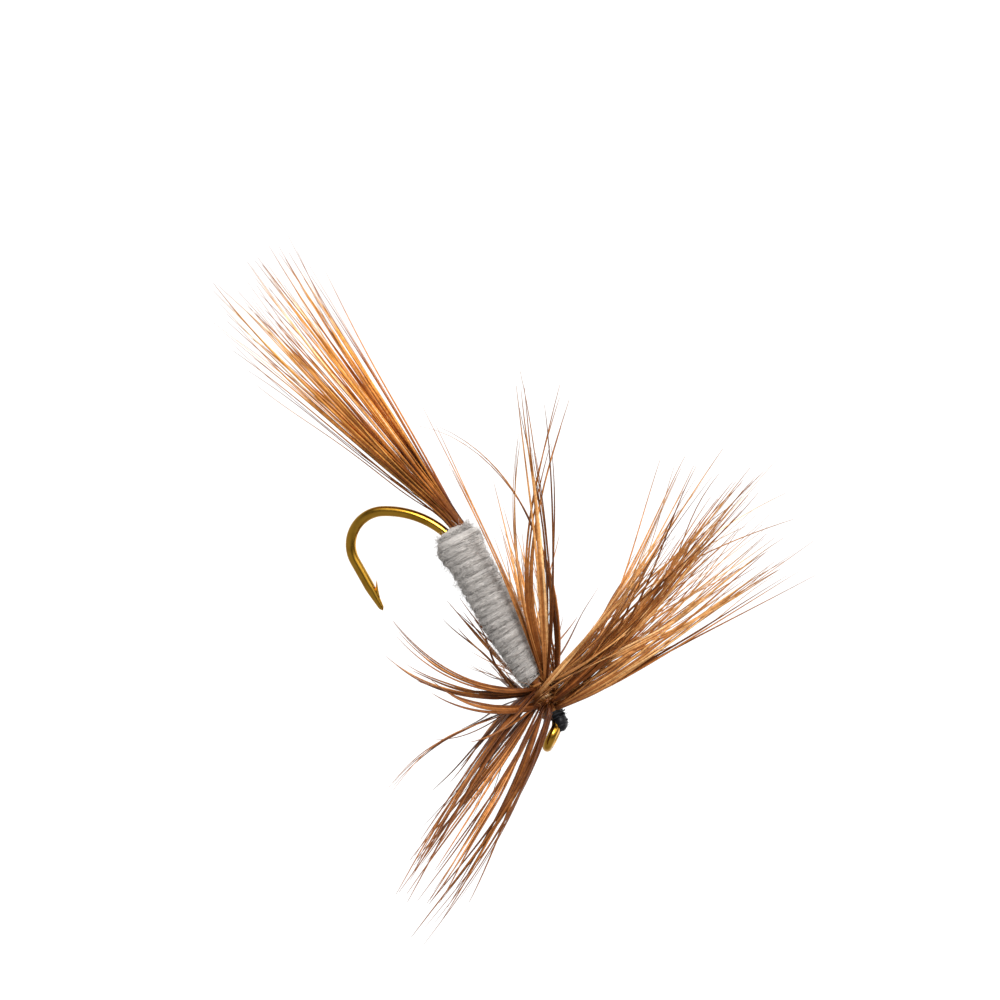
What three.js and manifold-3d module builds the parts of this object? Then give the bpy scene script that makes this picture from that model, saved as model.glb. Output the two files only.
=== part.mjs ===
// A dry fly for trout, tied on a bronzed down-eye hook.
//
// Millimetres. The origin is the centre of the hook's eye. +X runs forward along the shank towards
// the eye, +Z is the back of the fly, and the bend and the point hang below the shank. Everything
// on the shank is bound there with thread, so nothing turns or slides.

import * as THREE from 'three';
import { mergeVertices } from 'three/addons/utils/BufferGeometryUtils.js';
import Module from 'manifold-3d';

const wasm = await Module();
wasm.setup();

const degrees = Math.PI / 180;
const fullTurn = 2 * Math.PI;

// Hook: round wire, an eye turned down, a bend that tightens, and a barbed point.
const wireRadius = 0.3;
const shankHeight = 0.85;
const eyeRadius = 0.7;
const eyeTurnedDown = 48 * degrees;
const eyeEndAngle = 34 * degrees;
const eyeLeaveAngle = 322 * degrees;
const neckReach = 0.4;
const shankFront = -1.25;
const shankBack = -12.25;
const gap = 6.15;
const easyBendAngle = 50 * degrees;
const closeBendRadius = 2.4;
const easyBendRadius = (gap - closeBendRadius * (1 + Math.cos(easyBendAngle)))
  / (1 - Math.cos(easyBendAngle));
const spearLength = 2.95;
const pointTaper = 1.7;
const pointRadius = 0.03;
const barbLength = 1.0;
const barbLift = 28 * degrees;
const barbBehindPoint = 0.8;
const barbRadius = 0.13;

// Clearance between layers that lie on each other.
const clearance = 0.02;

// Thread: the base on the shank and the turns that bind everything to it.
const threadRadius = 0.05;
const baseRadius = wireRadius + clearance + 2 * threadRadius;

// Tail: a bunch of stiff fibres on top of the shank, over the start of the bend.
const tailCount = 22;
const tailFibreRadius = 0.045;
const tailTipRadius = 0.015;
const tailPacking = 0.068;
const tailButt = { x: -12.4, z: 1.54 };
const tailExit = { x: -14.2, z: 1.36 };
const tailLength = 20;
const tailDroop = 8 * degrees;
const tailSpreadDown = 24 * degrees;
const tailSpreadAcross = 24 * degrees;

// Body: one strand of soft yarn wound in close turns over a first layer laid along the shank.
const bodyBack = -13.95;
const bodyFront = -4.0;
const yarnPitch = 0.52;
const yarnHalfWidth = 0.235;
const yarnHalfDepth = 0.19;

// Hackle: two cock feathers, each with its stem wound round the shank.
const stemRadius = 0.12;
const stemPitch = 0.28;
const stemTurns = 2.2;
const stemHelixRadius = baseRadius + clearance + stemRadius;
const hackleLength = 18.5;
const hackleRootRadius = 0.06;
const hackleTipRadius = 0.02;
const barbsPerFeather = 44;
const rearFeather = { from: -3.36, start: 20 * degrees, seed: 3 };
const frontFeather = { from: -2.48, start: 200 * degrees, seed: 11 };

// Head: turns of black thread behind the eye, a whip-finish knot and a coat of varnish.
const headBack = -1.72;
const headFront = -0.98;
const headRadius = 0.58;
const headTurns = 7;

// How the barbs of the hackle gather. Angles go round the shank from the fly's back (0) over its
// far side (90) to its belly (180); sweep leans a clump backwards, or forwards if it is negative.
const clumps = [
  { from: -30, to: 5, around: -8, sweep: 4, reach: 1.0 },
  { from: 5, to: 40, around: 14, sweep: 18, reach: 1.0 },
  { from: 40, to: 95, around: 62, sweep: 34, reach: 0.95 },
  { from: 95, to: 150, around: 118, sweep: 56, reach: 0.9 },
  { from: 150, to: 205, around: 186, sweep: -30, reach: 0.95 },
  { from: 205, to: 245, around: 222, sweep: -8, reach: 0.95 },
  { from: 245, to: 290, around: 258, sweep: 26, reach: 0.95 },
  { from: 290, to: 330, around: 334, sweep: 60, reach: 0.95 },
];

const finishes = {
  bronzed: { color: 0x8a6a24, roughness: 0.25, metalness: 1.0 },
  tyingThread: { color: 0x15161a, roughness: 0.6, metalness: 0.0 },
  yarn: { color: 0xc9c9ce, roughness: 0.95, metalness: 0.0 },
  feather: { color: 0xa8622d, roughness: 0.5, metalness: 0.0 },
  tailFeather: { color: 0x96501f, roughness: 0.5, metalness: 0.0 },
  varnish: { color: 0x241d18, roughness: 0.12, metalness: 0.0 },
};

// A repeatable stream of numbers from 0 to 1.
function steadyRandom(seed) {
  let state = seed;
  return () => {
    state = (state * 1664525 + 1013904223) % 4294967296;
    return state / 4294967296;
  };
}

// The directions across a line of stations, carried along it without twisting. A station that
// says which way it faces keeps that direction.
function carriedFrames(stations) {
  const last = stations.length - 1;
  let carried = new THREE.Vector3(0, 1, 0);
  return stations.map(({ facing }, i) => {
    const tangent = stations[Math.min(i + 1, last)].point.clone()
      .sub(stations[Math.max(i - 1, 0)].point)
      .normalize();
    const outward = (facing ?? carried).clone();
    if (Math.abs(outward.dot(tangent)) > 0.95) {
      outward.set(0, 0, 1);
    }
    outward.addScaledVector(tangent, -outward.dot(tangent)).normalize();
    carried = outward;
    return { outward, side: outward.clone().cross(tangent) };
  });
}

// A closed tube through a line of stations, each with its point, half depth and half width.
function tubeThrough(stations, sides) {
  const last = stations.length - 1;
  const tube = new THREE.CylinderGeometry(1, 1, 1, sides, last);
  const frames = carriedFrames(stations);
  const place = tube.attributes.position;
  for (let i = 0; i < place.count; i += 1) {
    const k = Math.round((place.getY(i) + 0.5) * last);
    const { point, deep, wide } = stations[k];
    const corner = point.clone()
      .addScaledVector(frames[k].outward, place.getX(i) * deep)
      .addScaledVector(frames[k].side, place.getZ(i) * (wide ?? deep));
    place.setXYZ(i, corner.x, corner.y, corner.z);
  }
  tube.computeVertexNormals();
  return tube;
}

// Stations of a strand wound round a line along X. The line's height and the radius may change.
function windingStations({ from, to, turns, perTurn, start = 0, heightAt, radiusAt, deep, wide }) {
  const steps = Math.round(turns * perTurn);
  return Array.from({ length: steps + 1 }, (_, i) => {
    const x = THREE.MathUtils.lerp(from, to, i / steps);
    const angle = start + (i / steps) * turns * fullTurn;
    const outward = new THREE.Vector3(0, Math.sin(angle), Math.cos(angle));
    const point = new THREE.Vector3(x, 0, heightAt(x)).addScaledVector(outward, radiusAt(x));
    return { point, deep, wide, facing: outward };
  });
}

// A ring turned round the X axis from [x, radius] corners, which run from the back of its bore
// over the outside to the front of its bore.
function turnedRing(outline, segments) {
  const corners = [...outline, outline[0]].map(([x, radius]) => new THREE.Vector2(radius, x));
  return new THREE.LatheGeometry(corners, segments).rotateZ(-90 * degrees);
}

function solidOf(geometry) {
  const bare = geometry.clone();
  bare.deleteAttribute('normal');
  bare.deleteAttribute('uv');
  const merged = mergeVertices(bare, 1e-5);
  return new wasm.Manifold(new wasm.Mesh({
    numProp: 3,
    vertProperties: new Float32Array(merged.attributes.position.array),
    triVerts: new Uint32Array(merged.index.array),
  }));
}

function joined(geometries) {
  const [first, ...others] = geometries.map(solidOf);
  const mesh = others.reduce((whole, piece) => whole.add(piece), first).getMesh();
  const geometry = new THREE.BufferGeometry();
  geometry.setAttribute('position', new THREE.BufferAttribute(mesh.vertProperties, 3));
  geometry.setIndex(new THREE.BufferAttribute(mesh.triVerts, 1));
  geometry.computeVertexNormals();
  return geometry;
}

function named(name, geometry, finish) {
  const mesh = new THREE.Mesh(geometry, new THREE.MeshStandardMaterial(finishes[finish]));
  mesh.name = name;
  return mesh;
}

// The wire's line: round the eye, up the neck, back along the shank, round the bend, to the point.
function hookStations() {
  const down = new THREE.Vector3(Math.cos(eyeTurnedDown), 0, -Math.sin(eyeTurnedDown));
  const across = new THREE.Vector3(0, 1, 0);
  const onEye = (angle) => new THREE.Vector3()
    .addScaledVector(down, -Math.cos(angle) * eyeRadius)
    .addScaledVector(across, Math.sin(angle) * eyeRadius);
  const eyeSteps = 22;
  const eye = Array.from({ length: eyeSteps + 1 }, (_, i) => onEye(
    THREE.MathUtils.lerp(eyeEndAngle, eyeLeaveAngle, i / eyeSteps),
  ));

  const leave = onEye(eyeLeaveAngle);
  const heading = new THREE.Vector3()
    .addScaledVector(down, Math.sin(eyeLeaveAngle))
    .addScaledVector(across, Math.cos(eyeLeaveAngle));
  const front = new THREE.Vector3(shankFront, 0, shankHeight);
  const neck = new THREE.CubicBezierCurve3(
    leave,
    leave.clone().addScaledVector(heading, neckReach),
    front.clone().setX(shankFront + neckReach),
    front,
  ).getPoints(7).slice(1);

  const arc = (x, z, radius, from, to, steps) => Array.from({ length: steps }, (_, i) => {
    const angle = THREE.MathUtils.lerp(from, to, (i + 1) / steps);
    return new THREE.Vector3(x - radius * Math.sin(angle), 0, z + radius * Math.cos(angle));
  });
  const ease = easyBendRadius - closeBendRadius;
  const closeX = shankBack - ease * Math.sin(easyBendAngle);
  const spearZ = shankHeight - gap;
  const shankEnd = new THREE.Vector3(shankBack, 0, shankHeight);
  const easy = arc(shankBack, shankHeight - easyBendRadius, easyBendRadius, 0, easyBendAngle, 10);
  const close = arc(closeX, spearZ + closeBendRadius, closeBendRadius, easyBendAngle, Math.PI, 18);

  const wire = [...eye, ...neck, shankEnd, ...easy, ...close];
  const stations = wire.map((point) => ({ point, deep: wireRadius }));
  stations[0].deep = wireRadius * 0.8;
  const taperSteps = 5;
  for (let i = 0; i <= taperSteps; i += 1) {
    const x = closeX + spearLength - pointTaper * (1 - i / taperSteps);
    const deep = THREE.MathUtils.lerp(wireRadius, pointRadius, (i / taperSteps) ** 1.3);
    stations.push({ point: new THREE.Vector3(x, 0, spearZ), deep });
  }
  return stations;
}

// The barb is a sliver cut up from the point's inner side, so it leans back into the gap.
function hookGeometry() {
  const wire = hookStations();
  const tip = wire[wire.length - 1].point;
  const root = new THREE.Vector3(tip.x - barbBehindPoint, 0, tip.z + 0.05);
  const back = new THREE.Vector3(-Math.cos(barbLift), 0, Math.sin(barbLift));
  const barb = [0, 0.55, 1].map((part) => ({
    point: root.clone().addScaledVector(back, part * barbLength),
    deep: THREE.MathUtils.lerp(barbRadius, pointRadius, part),
  }));
  return joined([tubeThrough(wire, 12), tubeThrough(barb, 6)]);
}

// The outer radius of the wound body: a swollen end over the tail, then a slow taper forwards.
function bodyRadius(x) {
  const back = THREE.MathUtils.smoothstep(x, bodyBack - 0.1, bodyBack + 0.6);
  const swell = THREE.MathUtils.smoothstep(x, -13.2, -11.9);
  const taper = THREE.MathUtils.smoothstep(x, -8.5, bodyFront + 0.3);
  return 1.2 + 0.28 * back - 0.22 * swell - 0.34 * taper;
}

// The tail butts lie on top of the wire, so the body sits a little high towards its back end.
function bodyHeight(x) {
  return shankHeight + 0.12 * (1 - THREE.MathUtils.smoothstep(x, -8, bodyFront));
}

function bodyYarn() {
  const stations = windingStations({
    from: bodyBack,
    to: bodyFront,
    turns: (bodyFront - bodyBack) / yarnPitch,
    perTurn: 12,
    heightAt: bodyHeight,
    radiusAt: (x) => bodyRadius(x) - yarnHalfDepth,
    deep: yarnHalfDepth,
    wide: yarnHalfWidth,
  });
  return tubeThrough(stations, 6);
}

// One fibre of the tail. Its butt and its direction share one place in the bunch, so that the
// fibres fan out without crossing.
function tailFibre(index, random) {
  const radius = tailPacking * Math.sqrt(index + 0.5);
  const angle = index * 137.5 * degrees;
  const across = radius * Math.cos(angle);
  const up = radius * Math.sin(angle);
  const edge = tailPacking * Math.sqrt(tailCount);
  const yaw = (across / edge) * tailSpreadAcross / 2;
  const pitch = tailDroop - (up / edge) * tailSpreadDown / 2;
  const length = tailLength * (0.86 + 0.14 * random());
  const butt = new THREE.Vector3(tailButt.x, across, tailButt.z + up);
  const exit = new THREE.Vector3(tailExit.x, across, tailExit.z + up);
  const ahead = new THREE.Vector3(
    -Math.cos(yaw) * Math.cos(pitch),
    Math.sin(yaw) * Math.cos(pitch),
    -Math.sin(pitch),
  );
  const line = new THREE.CubicBezierCurve3(
    exit,
    exit.clone().add(exit.clone().sub(butt).setLength(length * 0.12)),
    exit.clone().addScaledVector(ahead, length * 0.6),
    exit.clone().addScaledVector(ahead, length),
  );
  const points = [butt, ...line.getPoints(8)];
  const stations = points.map((point, i) => ({
    point,
    deep: THREE.MathUtils.lerp(tailFibreRadius, tailTipRadius, i / (points.length - 1)),
  }));
  return tubeThrough(stations, 4);
}

// Turns of thread round the wire and the tail butts together.
function tailLashing() {
  const from = -12.5;
  const to = -13.3;
  const turns = 5;
  const perTurn = 16;
  const middle = 1.2;
  const halfHeight = 0.78;
  const halfWidth = 0.52;
  const stations = Array.from({ length: turns * perTurn + 1 }, (_, i) => {
    const angle = (i / perTurn) * fullTurn;
    const outward = new THREE.Vector3(0, Math.sin(angle), Math.cos(angle));
    const x = THREE.MathUtils.lerp(from, to, i / (turns * perTurn));
    const sink = 0.1 * (from - x);
    const point = new THREE.Vector3(x, outward.y * halfWidth, middle - sink + outward.z * halfHeight);
    return { point, deep: 0.04, facing: outward };
  });
  return tubeThrough(stations, 4);
}

// Where a barb of the hackle goes, from the angle round the shank at which it grows.
function barbHeading(angle, random) {
  const turn = ((angle / degrees + 30) % 360 + 360) % 360 - 30;
  const clump = clumps.find(({ from, to }) => turn >= from && turn < to);
  const middle = (clump.from + clump.to) / 2;
  const around = (clump.around + (turn - middle) * 0.8 + (random() - 0.5) * 14) * degrees;
  const sweep = (clump.sweep + (random() - 0.5) * 22) * degrees;
  const ahead = new THREE.Vector3(
    -Math.sin(sweep),
    Math.sin(around) * Math.cos(sweep),
    Math.cos(around) * Math.cos(sweep),
  );
  return { ahead, length: hackleLength * clump.reach * (0.86 + 0.14 * random()) };
}

// A hackle feather: its stem wound round the shank, and its barbs standing out from the stem.
function hackleFeather({ from, start, seed }) {
  const random = steadyRandom(seed);
  const stem = windingStations({
    from,
    to: from + stemPitch * stemTurns,
    turns: stemTurns,
    perTurn: 14,
    start,
    heightAt: () => shankHeight,
    radiusAt: () => stemHelixRadius,
    deep: stemRadius,
  });
  const pieces = [tubeThrough(stem, 6)];
  for (let i = 0; i < barbsPerFeather; i += 1) {
    const { point, facing } = stem[Math.round(1 + (i / barbsPerFeather) * (stem.length - 3))];
    const { ahead, length } = barbHeading(Math.atan2(facing.y, facing.z), random);
    const line = new THREE.CubicBezierCurve3(
      point,
      point.clone().addScaledVector(facing, 1.3),
      point.clone().addScaledVector(facing, 0.6).addScaledVector(ahead, length * 0.5),
      point.clone().addScaledVector(ahead, length),
    );
    const points = line.getPoints(7);
    pieces.push(tubeThrough(points.map((place, k) => ({
      point: place,
      deep: THREE.MathUtils.lerp(hackleRootRadius, hackleTipRadius, k / (points.length - 1)),
    })), 3));
  }
  return joined(pieces);
}

// A barrel of close thread turns, as an outline with one ridge for each turn.
function threadBarrel({ back, front, radius, turns, hole }) {
  const outline = [[back, hole]];
  const pitch = (front - back) / turns;
  for (let i = 0; i < turns; i += 1) {
    const swell = Math.sin(((i + 0.5) / turns) * Math.PI);
    const crest = THREE.MathUtils.lerp(hole + 2 * threadRadius, radius, swell);
    outline.push([back + i * pitch, crest - threadRadius / 2]);
    outline.push([back + (i + 0.5) * pitch, crest]);
  }
  outline.push([front, hole + 1.5 * threadRadius]);
  outline.push([front, hole]);
  return turnedRing(outline, 18);
}

// The whip-finish knot, crowded forwards over the neck of the eye.
function headKnot() {
  const back = new THREE.Vector3(-0.93, 0, 1.42);
  const front = new THREE.Vector3(-0.12, 0, 1.1);
  const halfSizes = [0.1, 0.2, 0.24, 0.24, 0.2, 0.1];
  const stations = halfSizes.map((deep, i) => ({
    point: back.clone().lerp(front, i / (halfSizes.length - 1)),
    deep,
    wide: deep * 1.3,
  }));
  return tubeThrough(stations, 10);
}

const baseBore = wireRadius + clearance;
const overBase = baseRadius + clearance;

const onShank = new THREE.Group();
onShank.position.z = shankHeight;
onShank.add(
  named('thread_base', turnedRing([
    [shankBack + 0.05, baseBore],
    [shankBack + 0.05, baseRadius],
    [shankFront + 0.2, baseRadius],
    [shankFront + 0.2, baseBore],
  ], 16), 'tyingThread'),
  named('yarn_underlayer', turnedRing([
    [-12.15, overBase],
    [-12.15, 0.68],
    [-8, 0.68],
    [-4.6, overBase + 0.05],
    [-4.6, overBase],
  ], 16), 'yarn'),
  named('yarn_tie_off', threadBarrel({
    back: -3.74, front: -3.52, radius: 0.6, turns: 3, hole: overBase,
  }), 'tyingThread'),
  named('head_thread', threadBarrel({
    back: headBack, front: headFront, radius: headRadius, turns: headTurns, hole: overBase,
  }), 'tyingThread'),
  named('head_varnish', turnedRing([
    [-1.5, headRadius + 0.02],
    [-1.5, headRadius + 0.04],
    [-1.35, headRadius + 0.06],
    [-1.2, headRadius + 0.04],
    [-1.2, headRadius + 0.02],
  ], 16), 'varnish'),
);

const fly = new THREE.Group();
fly.add(onShank);
fly.add(named('hook', hookGeometry(), 'bronzed'));
const tailRandom = steadyRandom(7);
for (let i = 0; i < tailCount; i += 1) {
  const name = `tail_fibre_${String(i + 1).padStart(2, '0')}`;
  fly.add(named(name, tailFibre(i, tailRandom), 'tailFeather'));
}
fly.add(named('tail_lashing', tailLashing(), 'tyingThread'));
fly.add(named('body_yarn', bodyYarn(), 'yarn'));
fly.add(named('hackle_feather_rear', hackleFeather(rearFeather), 'feather'));
fly.add(named('hackle_feather_front', hackleFeather(frontFeather), 'feather'));
fly.add(named('head_knot', headKnot(), 'tyingThread'));

export default fly;
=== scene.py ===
import math

import bpy
import numpy as np
from mathutils import Matrix, Vector


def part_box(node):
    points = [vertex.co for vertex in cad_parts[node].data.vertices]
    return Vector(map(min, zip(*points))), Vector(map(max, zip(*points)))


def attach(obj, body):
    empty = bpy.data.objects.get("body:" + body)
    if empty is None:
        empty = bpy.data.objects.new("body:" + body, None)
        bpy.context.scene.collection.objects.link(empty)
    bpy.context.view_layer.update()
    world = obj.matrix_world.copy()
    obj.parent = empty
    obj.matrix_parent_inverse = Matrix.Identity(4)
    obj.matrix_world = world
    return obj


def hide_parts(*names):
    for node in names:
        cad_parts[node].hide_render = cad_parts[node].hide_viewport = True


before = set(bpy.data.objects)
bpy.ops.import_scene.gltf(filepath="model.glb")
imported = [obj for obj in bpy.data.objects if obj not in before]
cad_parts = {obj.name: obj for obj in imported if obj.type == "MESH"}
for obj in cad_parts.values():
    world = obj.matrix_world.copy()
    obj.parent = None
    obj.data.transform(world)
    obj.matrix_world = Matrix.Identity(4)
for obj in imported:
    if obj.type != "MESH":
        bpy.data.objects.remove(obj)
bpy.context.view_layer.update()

# Lengths are in millimetres, in the CAD frame: the hook eye's centre is the origin, +X runs
# forward along the shank, +Y is the fly's far side and +Z is its upper side. Meshes are scaled to
# metres as they are made. Angles round the shank start on top and turn towards the far side.
MM = 0.001
FULL_TURN = 2 * math.pi


def box_mm(node):
    low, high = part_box(node)
    return np.array(low) / MM, np.array(high) / MM


# Places read from the frame.
base_low, base_high = box_mm("thread_base")
hook_low, hook_high = box_mm("hook")
yarn_low, yarn_high = box_mm("body_yarn")
head_low, head_high = box_mm("head_thread")
knot_low, knot_high = box_mm("head_knot")
lowest_barb = box_mm("hackle_feather_rear")[0][2]

# Hook. The bend starts easy and ends close, and its wire is a little thicker than the shank's.
SHANK_Z = (base_low[2] + base_high[2]) / 2
SHANK_BACK = base_low[0] - 0.05
SHANK_FRONT = base_high[0] - 0.2
WIRE = 0.3
BEND_WIRE = 0.325
EYE_RADIUS = hook_high[1] - WIRE
EYE_DOWN = math.radians(55)
EYE_STARTS = math.radians(34)
EYE_ENDS = math.radians(322)
NECK_REACH = 0.4
BEND_TURN = math.radians(63)
BEND_CLOSE = 2.12
SPEAR_Z = hook_low[2] + WIRE - 0.1
SPEAR = 3.5
POINT_TAPER = 1.7
BARB_ROOT = (-0.85, 0, 0.1)
BARB_LENGTH = 1.08
BARB_LIFT = math.radians(23)

# Body. The yarn is wound from the back, fullest just inside its rounded back end. Its lying
# fibres run forward by their pitch for each radian round.
BODY_BACK = yarn_low[0] + 0.235
BODY_FRONT = yarn_high[0] - 0.235
BODY_LENGTH = BODY_FRONT - BODY_BACK
BACK_RADIUS = 1.1
BACK_ROUNDING = 0.43
BODY_EASES = 0.22
BODY_TAPER = 0.36
YARN_PITCH = 0.52
YARN_TURNS = BODY_LENGTH / YARN_PITCH
YARN_WIDE = 0.30
YARN_DEEP = 0.2
YARN_RIDGE = 0.065
LYING_FIBRES = 4300
LYING_PITCH = 0.083
FLYAWAYS = 3400
END_FIBRES = 160

# Thread.
THREAD = 0.05
BASE_TURNS = 110
BASE_RADIUS = 0.37
LASHING_TURNS = 7
TIE_OFF_TURNS = 4
TIE_OFF_RADIUS = 0.52
HEAD_RADIUS = 0.40
HEAD_BULGE = 0.17
KNOT_ENDS = (knot_low[0] - 0.15, knot_high[0] + 0.05)
KNOT_HEIGHTS = (SHANK_Z + 0.29, SHANK_Z - 0.11)
KNOT_RADIUS = 0.42
KNOT_LOOPS = 11
CUT_ENDS = 26
CUT_END_HEIGHTS = (SHANK_Z + 0.35, SHANK_Z + 0.05)

# Hackle stems: where each is wound, between the yarn and the head.
STEM_RADIUS = 0.12
STEM_HELIX = 0.56
STEM_PITCH = 0.28
STEM_TURNS = 2.2
STEM_LENGTH = STEM_TURNS * STEM_PITCH
STEM_BACK = {"rear": head_low[0] - 1.64, "front": head_low[0] - 0.76}
STEM_FIRST_ANGLE = {"rear": math.radians(20), "front": math.radians(200)}
COLLAR_REACH = {"rear": (-0.35, 0.7), "front": (0.0, 1.2)}
COLLAR_FRONT = head_low[0] + 0.42
COLLAR_WRAPS = 64
DOWN_HAIRS = 170
HAIRS_ON_BARB = 7

# Tail: where the bunch is lashed down, and where it leaves the body.
TAIL_BUTT = np.array([SHANK_BACK - 0.15, 0, SHANK_Z + 0.69])
TAIL_EXIT = np.array([SHANK_BACK - 1.95, 0, SHANK_Z + 0.51])
TAIL_PACK = 0.1
GOLDEN_ANGLE = math.radians(137.5)
TAIL_GROUPS = 9
TAIL_FINE = 80

# Each random stream's seed.
BODY_SEED = 21
FILLING_SEED = 4
THREAD_SEED = 9
HEAD_SEED = 17
TAIL_SEED = 31
REAR_SEED = 5
FRONT_SEED = 12

# Floor, world and camera. The sky's stops run from the horizon to straight up, and the room's
# from square off its soft light to the light's middle. The view's width is measured at the fly,
# and the hook's eye lies to the right of its middle and below it.
FLOOR_WIDTH = 12000
FLOOR_DEPTH = 45
SKY = [(0.0, 0.5), (0.02, 0.3), (0.2, 0.36), (0.42, 0.75), (0.66, 1.1), (1.0, 1.2)]
ROOM = [(0.0, 0.42), (0.22, 0.36), (0.4, 0.12), (0.54, 0.1), (0.66, 0.45), (0.8, 1.3), (1.0, 2.8)]
SOFT_LIGHT = (-0.5, -0.35, 0.8)
CAMERA_RISE = math.radians(10)
SHANK_SLOPE = math.radians(60.5)
CAMERA_DISTANCE = 330.0
SENSOR_WIDTH = 36
VIEW_WIDTH = 62.112
EYE_RIGHT_OF_CENTRE = 3.248
EYE_BELOW_CENTRE = 14.72


# ---------------------------------------------------------------------------------------------
# Lines, and the closed strands built along them
# ---------------------------------------------------------------------------------------------

def unit(v):
    v = np.asarray(v, float)
    return v / np.maximum(np.linalg.norm(v, axis=-1, keepdims=True), 1e-9)


def ease(t):
    t = np.clip(t, 0, 1)
    return t * t * (3 - 2 * t)


def away(angle):
    """The direction away from the shank at an angle round it."""
    angle = np.asarray(angle, float)
    return np.stack([0 * angle, np.sin(angle), np.cos(angle)], -1)


def onward(angle):
    """The direction round the shank at that angle."""
    angle = np.asarray(angle, float)
    return np.stack([0 * angle, np.cos(angle), -np.sin(angle)], -1)


def ring_line(x, angle, radius, height):
    """A line that winds at a radius round a middle line at that height."""
    return np.stack([x + 0 * angle, radius * np.sin(angle), height + radius * np.cos(angle)], -1)


def along_x(x, height):
    """A straight or gently rising line that runs the way of the shank."""
    return np.stack([x, 0 * x, height + 0 * x], -1)


def curled(root, heading, length, curl, steps):
    """A line of that length that turns steadily towards curl."""
    line = [root]
    for _ in range(steps):
        line.append(line[-1] + heading * length / steps)
        heading = unit(heading + curl / steps)
    return line


def carried_normals(tangent):
    """One direction across each tangent, carried along the line without twisting."""
    start = np.array([0.0, 0.0, 1.0])
    if abs(tangent[0] @ start) > 0.9:
        start = np.array([0.0, 1.0, 0.0])
    normals = []
    for t in tangent:
        start = unit(start - (start @ t) * t)
        normals.append(start)
    return np.array(normals)


class Strands:
    """Collects closed tubes into one mesh. Each vertex keeps how far along its strand it is, and
    its strand's own tint, for the material."""

    def __init__(self):
        self.points = []
        self.faces = []
        self.along = []
        self.tint = []
        self.count = 0

    def add(self, line, wide, deep, sides=6, facing=None, tint=0.5, along=None):
        """A tube along a line: its half width, and its half depth in the way that it faces."""
        line = np.asarray(line, float)
        n = len(line)
        wide = np.broadcast_to(np.asarray(wide, float), (n,))
        deep = np.broadcast_to(np.asarray(deep, float), (n,))
        tangent = unit(np.gradient(line, axis=0))
        if facing is None:
            normal = carried_normals(tangent)
        else:
            facing = np.broadcast_to(np.asarray(facing, float), (n, 3))
            normal = unit(facing - (facing * tangent).sum(1, keepdims=True) * tangent)
        side = np.cross(normal, tangent)
        turn = np.arange(sides) * FULL_TURN / sides
        ring = (
            line[:, None]
            + (np.cos(turn)[None, :] * deep[:, None])[..., None] * normal[:, None]
            + (np.sin(turn)[None, :] * wide[:, None])[..., None] * side[:, None]
        )
        index = self.count + np.arange(n * sides).reshape(n, sides)
        a, b = index[:-1], index[1:]
        a_next, b_next = np.roll(a, -1, axis=1), np.roll(b, -1, axis=1)
        quads = np.stack([a, b, b_next, a_next], -1).reshape(-1, 4)
        self.faces += quads.tolist()
        self.faces.append(index[0].tolist())
        self.faces.append(index[-1][::-1].tolist())
        self.points.append(ring.reshape(-1, 3))
        if along is None:
            along = np.linspace(0, 1, n)
        self.along.append(np.repeat(along, sides))
        self.tint.append(np.full(n * sides, tint))
        self.count += n * sides

    def build(self, name, material, nodes=()):
        points = np.concatenate(self.points) * MM
        mesh = bpy.data.meshes.new(name)
        mesh.from_pydata(points.tolist(), [], self.faces)
        for label, values in (("along", self.along), ("tint", self.tint)):
            layer = mesh.attributes.new(label, "FLOAT", "POINT")
            layer.data.foreach_set("value", np.concatenate(values).astype(np.float32))
        mesh.polygons.foreach_set("use_smooth", [True] * len(mesh.polygons))
        mesh.update()
        mesh.materials.append(material)
        piece = bpy.data.objects.new(name, mesh)
        bpy.context.scene.collection.objects.link(piece)
        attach(piece, "root")
        if nodes:
            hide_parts(*nodes)


# ---------------------------------------------------------------------------------------------
# Materials
# ---------------------------------------------------------------------------------------------

HACKLE_DARK = (0.13, 0.034, 0.005)
HACKLE_MID = (0.37, 0.121, 0.026)
HACKLE_LIGHT = (0.60, 0.268, 0.082)
TAIL_DARK = (0.20, 0.045, 0.004)
TAIL_MID = (0.52, 0.165, 0.020)
TAIL_LIGHT = (0.74, 0.32, 0.070)
PALE_BARB = (0.86, 0.50, 0.22)
DARK_TIP = (0.26, 0.10, 0.04)
WHITE = (1, 1, 1)
BLACK = (0, 0, 0)


def fill_ramp(ramp, stops):
    """Sets a colour ramp's stops, each a place and a colour."""
    bar = ramp.color_ramp
    while len(bar.elements) < len(stops):
        bar.elements.new(0.5)
    for element, (place, colour) in zip(bar.elements, stops):
        element.position = place
        element.color = (*colour, 1)


def mixed(tree, factor, a, b, blend):
    """Mixes two colours. Each of the inputs is a value or another node's output."""
    mix = tree.nodes.new("ShaderNodeMix")
    mix.data_type = "RGBA"
    mix.blend_type = blend
    for value, socket in ((factor, mix.inputs[0]), (a, mix.inputs[6]), (b, mix.inputs[7])):
        if isinstance(value, bpy.types.NodeSocket):
            tree.links.new(value, socket)
        elif isinstance(value, tuple):
            socket.default_value = (*value, 1)
        else:
            socket.default_value = value
    return mix.outputs[2]


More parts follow.
